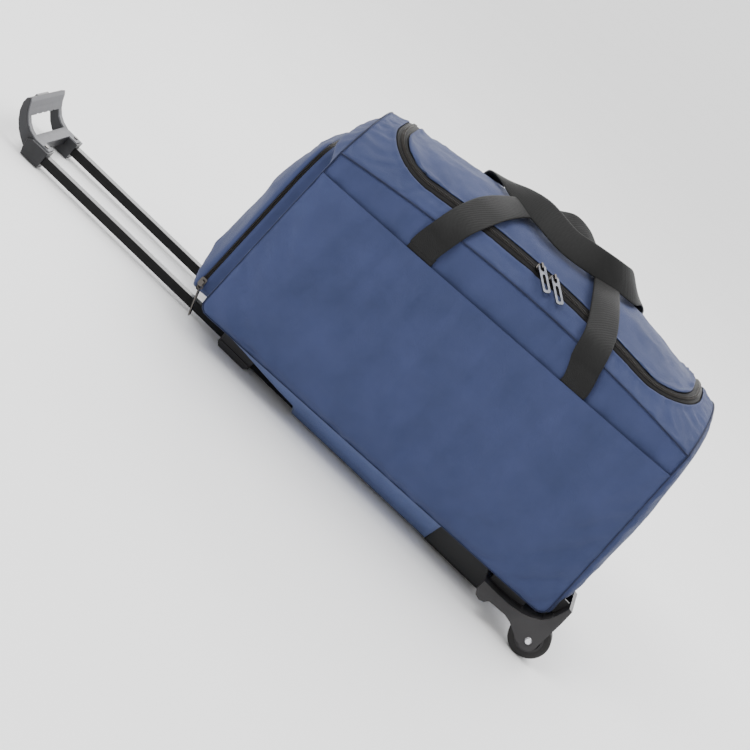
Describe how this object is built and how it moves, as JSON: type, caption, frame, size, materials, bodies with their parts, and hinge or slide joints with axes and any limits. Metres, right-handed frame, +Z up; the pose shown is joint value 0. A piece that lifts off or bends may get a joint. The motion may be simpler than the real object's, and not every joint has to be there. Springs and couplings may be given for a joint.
{
  "type": "rolling duffel bag",
  "caption": "Wheeled duffel bag with a zipped lid, two carry loops, front and end pockets, a two-rail pull-out trolley handle and in-line wheels.",
  "frame": {"origin": "middle of the footprint of the whole object with its trolley pulled out, on the plane that its wheels and feet rest on", "axes": "+X from the trolley grip towards the wheels, +Y from the front pocket side to the rear side, +Z up"},
  "size_m": [0.9186, 0.2862, 0.3934],
  "materials": {
    "side_fabric": "matte",
    "top_fabric": "matte",
    "binding": "matte",
    "base_fabric": "matte",
    "zip_tape": "matte",
    "webbing": "matte",
    "board": "matte",
    "moulding": "satin",
    "hub_plastic": "satin",
    "tyre_rubber": "matte",
    "rail_metal": "satin",
    "fastener_steel": "satin",
    "grip_plastic": "satin",
    "grip_pad": "matte",
    "button_plastic": "satin",
    "slider_metal": "satin",
    "pull_metal": "polished"
  },
  "bodies": {
    "bag": {"front_panel": "side_fabric", "rear_panel": "side_fabric", "handle_end_panel": "side_fabric", "wheel_end_panel": "side_fabric", "front_pocket": "side_fabric", "end_pocket_gusset": "side_fabric", "top_panel": "top_fabric", "seam_piping": "binding", "base_panel": "base_fabric", "rail_sleeve": "base_fabric", "main_zip_fixed_tape": "zip_tape", "end_zip_fixed_tape": "zip_tape", "front_strap_tails": "webbing", "rear_strap_tails": "webbing", "base_board": "board", "feet": "moulding", "front_mouth_collar": "moulding", "rear_mouth_collar": "moulding", "front_rail_socket": "moulding", "rear_rail_socket": "moulding", "front_wheel_bracket": "moulding", "rear_wheel_bracket": "moulding", "front_outer_tube": "rail_metal", "rear_outer_tube": "rail_metal", "wheel_axles": "fastener_steel", "wheel_washers": "fastener_steel", "base_screws": "fastener_steel", "bracket_rivets": "fastener_steel"},
    "trolley": {"front_inner_tube": "rail_metal", "rear_inner_tube": "rail_metal", "grip_body": "grip_plastic", "grip_face": "grip_pad", "grip_screws": "fastener_steel", "lock_blocks": "grip_plastic", "lock_springs": "fastener_steel"},
    "release": {"release_button": "button_plastic", "push_rods": "fastener_steel"},
    "lock_pins": {"lock_pins": "fastener_steel"},
    "front_wheel": {"front_tyre": "tyre_rubber", "front_hub": "hub_plastic"},
    "rear_wheel": {"rear_tyre": "tyre_rubber", "rear_hub": "hub_plastic"},
    "lid": {"lid_panel": "top_fabric", "main_zip_lid_tape": "zip_tape"},
    "front_handle": {"front_handle_webbing": "webbing"},
    "rear_handle": {"rear_handle_webbing": "webbing"},
    "left_slider": {"left_main_slider": "slider_metal"},
    "right_slider": {"right_main_slider": "slider_metal"},
    "left_pull": {"left_main_pull": "pull_metal"},
    "right_pull": {"right_main_pull": "pull_metal"},
    "pocket_flap": {"end_pocket_flap": "side_fabric", "end_zip_flap_tape": "zip_tape"},
    "pocket_slider": {"end_slider": "slider_metal"},
    "pocket_pull": {"end_pull": "pull_metal"}
  },
  "joints": [
    {"name": "trolley_slide", "type": "slide", "parent": "bag", "child": "trolley", "axis": [-1, 0, 0], "range_m": [-0.28, 0]},
    {"name": "release_press", "type": "slide", "parent": "trolley", "child": "release", "axis": [1, 0, 0], "range_m": [0, 0.003], "stiffness_N_per_m": 400, "springref_m": -0.002},
    {"name": "lock_lift", "type": "slide", "parent": "trolley", "child": "lock_pins", "axis": [0, 0, 1], "range_m": [0, 0.002], "deforming": ["lock_springs"]},
    {"name": "front_wheel_spin", "type": "hinge", "parent": "bag", "child": "front_wheel", "pos_m": [0.43275, -0.122, 0.0265], "axis": [0, 1, 0], "continuous": true},
    {"name": "rear_wheel_spin", "type": "hinge", "parent": "bag", "child": "rear_wheel", "pos_m": [0.43275, 0.122, 0.0265], "axis": [0, 1, 0], "continuous": true},
    {"name": "lid_hinge", "type": "hinge", "parent": "bag", "child": "lid", "pos_m": [0.14725, 0.0923, 0.3586], "axis": [-1, 0, 0], "range_deg": [0, 105]},
    {"name": "front_handle_swing", "type": "hinge", "parent": "bag", "child": "front_handle", "pos_m": [0.14025, -0.1395, 0.27965], "axis": [0.9988, 0, 0.0499], "range_deg": [0, 100], "deforming": ["front_handle_webbing"]},
    {"name": "rear_handle_swing", "type": "hinge", "parent": "bag", "child": "rear_handle", "pos_m": [0.14025, 0.1405, 0.27965], "axis": [-0.9988, 0, -0.0499], "range_deg": [0, 100], "deforming": ["rear_handle_webbing"]},
    {"name": "left_slider_run", "type": "slide", "parent": "lid", "child": "left_slider", "axis": [0.9979, 0, 0.0649], "range_m": [-0.065, 0]},
    {"name": "right_slider_run", "type": "slide", "parent": "lid", "child": "right_slider", "axis": [0.9999, 0, 0.01], "range_m": [0, 0.06]},
    {"name": "left_pull_swing", "type": "hinge", "parent": "left_slider", "child": "left_pull", "pos_m": [0.13359, -0.10631, 0.35613], "axis": [-0.7071, -0.5863, -0.3954], "range_deg": [0, 120]},
    {"name": "right_pull_swing", "type": "hinge", "parent": "right_slider", "child": "right_pull", "pos_m": [0.15359, -0.10631, 0.35687], "axis": [-0.7071, -0.5863, -0.3954], "range_deg": [0, 120]},
    {"name": "pocket_flap_hinge", "type": "hinge", "parent": "bag", "child": "pocket_flap", "pos_m": [-0.14275, 0, 0.045], "axis": [0, -1, 0], "range_deg": [0, 80]},
    {"name": "pocket_slider_run", "type": "slide", "parent": "bag", "child": "pocket_slider", "axis": [0, 0, 1], "range_m": [0, 0.15]},
    {"name": "pocket_pull_swing", "type": "hinge", "parent": "pocket_slider", "child": "pocket_pull", "pos_m": [-0.14115, -0.1172, 0.056], "axis": [0, 1, 0], "range_deg": [0, 60]}
  ],
  "couplings": [
    {"joint": "lock_lift", "follows": "release_press", "ratio": 0.6667}
  ]
}
